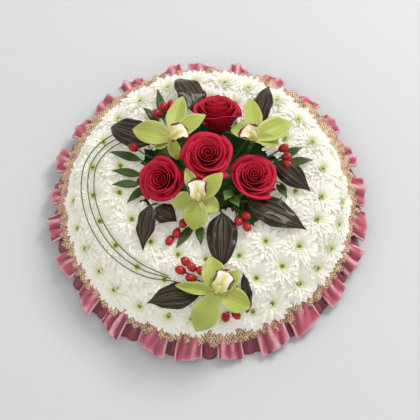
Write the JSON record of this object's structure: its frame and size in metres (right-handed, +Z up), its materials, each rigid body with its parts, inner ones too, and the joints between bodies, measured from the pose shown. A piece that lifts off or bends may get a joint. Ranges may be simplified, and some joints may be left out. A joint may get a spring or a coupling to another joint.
{
  "type": "funeral posy arrangement",
  "caption": "Round domed funeral posy of massed white chrysanthemums in a pleated satin ribbon edge, with a centre and front spray of red roses, green orchids, dark leaves and berries.",
  "frame": {"origin": "centre of the posy's bounding box in plan, at the flat underside of the pad it rests on", "axes": "+Z up out of the flowers, +Y towards the back of the arrangement, -Y towards the front spray"},
  "size_m": [0.4005, 0.3978, 0.1547],
  "materials": {
    "base": "white foamed polystyrene",
    "foam": "green floral foam",
    "satin": "glossy satin ribbon",
    "net": "gold net ribbon",
    "chrysanthemum": "soft matt petal",
    "rose": "velvety petal",
    "rose_green": "matt stem",
    "lip": "waxy petal",
    "orchid": "waxy petal",
    "dark_leaf": "glossy leaf",
    "berry": "glossy berry",
    "ruscus": "satin leaf",
    "grass": "satin blade"
  },
  "bodies": {
    "root": {"pad_base": "base", "foam_pad": "foam", "satin_pleats": "satin", "gold_net": "net", "chrysanthemum_spray_01": "chrysanthemum", "chrysanthemum_spray_02": "chrysanthemum", "chrysanthemum_spray_03": "chrysanthemum", "chrysanthemum_spray_04": "chrysanthemum", "chrysanthemum_spray_05": "chrysanthemum", "chrysanthemum_spray_06": "chrysanthemum", "chrysanthemum_spray_07": "chrysanthemum", "chrysanthemum_spray_08": "chrysanthemum", "chrysanthemum_spray_09": "chrysanthemum", "chrysanthemum_spray_10": "chrysanthemum", "chrysanthemum_spray_11": "chrysanthemum", "chrysanthemum_spray_12": "chrysanthemum", "chrysanthemum_spray_13": "chrysanthemum", "chrysanthemum_spray_14": "chrysanthemum", "rose_bloom_1": "rose", "rose_bloom_2": "rose", "rose_bloom_3": "rose", "rose_bloom_4": "rose", "rose_stem_1": "rose_green", "rose_stem_2": "rose_green", "rose_stem_3": "rose_green", "rose_stem_4": "rose_green", "orchid_lip_1": "lip", "orchid_lip_2": "lip", "orchid_lip_3": "lip", "orchid_lip_4": "lip", "orchid_flower_1": "orchid", "orchid_flower_2": "orchid", "orchid_flower_3": "orchid", "orchid_flower_4": "orchid", "dark_leaf_01": "dark_leaf", "dark_leaf_02": "dark_leaf", "dark_leaf_03": "dark_leaf", "dark_leaf_04": "dark_leaf", "dark_leaf_05": "dark_leaf", "dark_leaf_06": "dark_leaf", "dark_leaf_07": "dark_leaf", "dark_leaf_08": "dark_leaf", "dark_leaf_09": "dark_leaf", "dark_leaf_10": "dark_leaf", "berry_sprig_1": "berry", "berry_sprig_2": "berry", "berry_sprig_3": "berry", "berry_sprig_4": "berry", "berry_sprig_5": "berry", "berry_sprig_6": "berry", "berry_sprig_7": "berry", "ruscus_sprig_1": "ruscus", "ruscus_sprig_2": "ruscus", "ruscus_sprig_3": "ruscus", "ruscus_sprig_4": "ruscus", "ruscus_sprig_5": "ruscus", "grass_strand_1": "grass", "grass_strand_2": "grass", "grass_strand_3": "grass"}
  },
  "joints": []
}
